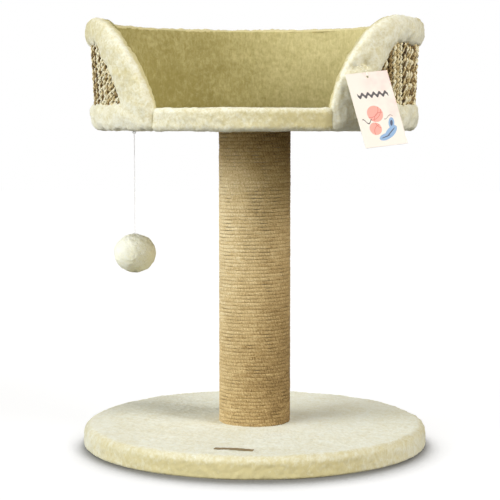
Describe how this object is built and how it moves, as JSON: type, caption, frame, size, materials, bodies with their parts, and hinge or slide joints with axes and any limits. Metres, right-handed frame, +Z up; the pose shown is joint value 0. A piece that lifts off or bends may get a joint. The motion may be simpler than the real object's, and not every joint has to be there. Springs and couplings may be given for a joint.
{
  "type": "cat scratching post",
  "caption": "Plush-covered cat scratching post: a round base, a rope-wound post and a round perch with a wrap-round straw-panelled wall, a hanging plush ball and a card tag.",
  "frame": {"origin": "centre of the base's underside, on the floor", "axes": "+Z up along the post, the perch's open front faces -Y, +X to the right as seen from the front"},
  "size_m": [0.4, 0.4, 0.4922],
  "materials": {
    "cream_plush": "short pile plush",
    "shaded_plush": "short pile plush, deeper cream",
    "sisal": "hairy twisted rope",
    "seagrass": "twisted straw strands",
    "brown_weave": "fine weave",
    "chipboard": "raw",
    "birch": "raw",
    "greyboard": "matt pressed board",
    "black_felt": "matt non-woven",
    "zinc_steel": "zinc plated",
    "elastic": "braided elastic",
    "clear_nylon": "clear",
    "card": "coated paper card"
  },
  "bodies": {
    "stand": {"base_board": "chipboard", "base_cover": "cream_plush", "base_backing": "black_felt", "base_bolt": "zinc_steel", "base_washer": "zinc_steel", "base_label": "brown_weave", "post_tube": "greyboard", "bottom_plug": "birch", "top_plug": "birch", "bottom_insert": "zinc_steel", "top_insert": "zinc_steel", "sisal_rope": "sisal", "top_stud": "zinc_steel", "perch_t_nut": "zinc_steel", "perch_board": "chipboard", "perch_cover": "cream_plush", "wall_panel": "greyboard", "wall_lining": "shaded_plush", "seagrass_mat": "seagrass", "wall_border": "cream_plush", "front_band": "cream_plush", "wall_screw_1": "zinc_steel", "wall_screw_2": "zinc_steel", "wall_screw_3": "zinc_steel", "wall_screw_4": "zinc_steel", "wall_screw_5": "zinc_steel", "toy_staple": "zinc_steel"},
    "toy_knot": {"toy_knot": "elastic"},
    "toy": {"toy_string": "elastic", "pompom": "cream_plush"},
    "tag_loop": {"tag_loop": "clear_nylon"},
    "tag": {"hang_tag": "card"}
  },
  "joints": [
    {"name": "toy_sideways", "type": "hinge", "parent": "stand", "child": "toy_knot", "pos_m": [-0.1398, -0.012, 0.36416], "axis": [0, 1, 0], "range_deg": [-28, 60]},
    {"name": "toy_fore_and_aft", "type": "hinge", "parent": "toy_knot", "child": "toy", "pos_m": [-0.1398, -0.012, 0.36263], "axis": [1, 0, 0], "range_deg": [-55, 55]},
    {"name": "tag_flap", "type": "hinge", "parent": "stand", "child": "tag_loop", "pos_m": [0.12732, -0.14518, 0.4357], "axis": [0.7518, 0.6593, 0], "range_deg": [-75, 3]},
    {"name": "tag_swing", "type": "hinge", "parent": "tag_loop", "child": "tag", "pos_m": [0.13253, -0.15112, 0.4235], "axis": [0.4082, -0.8258, 0.3891], "range_deg": [-3, 20]}
  ]
}
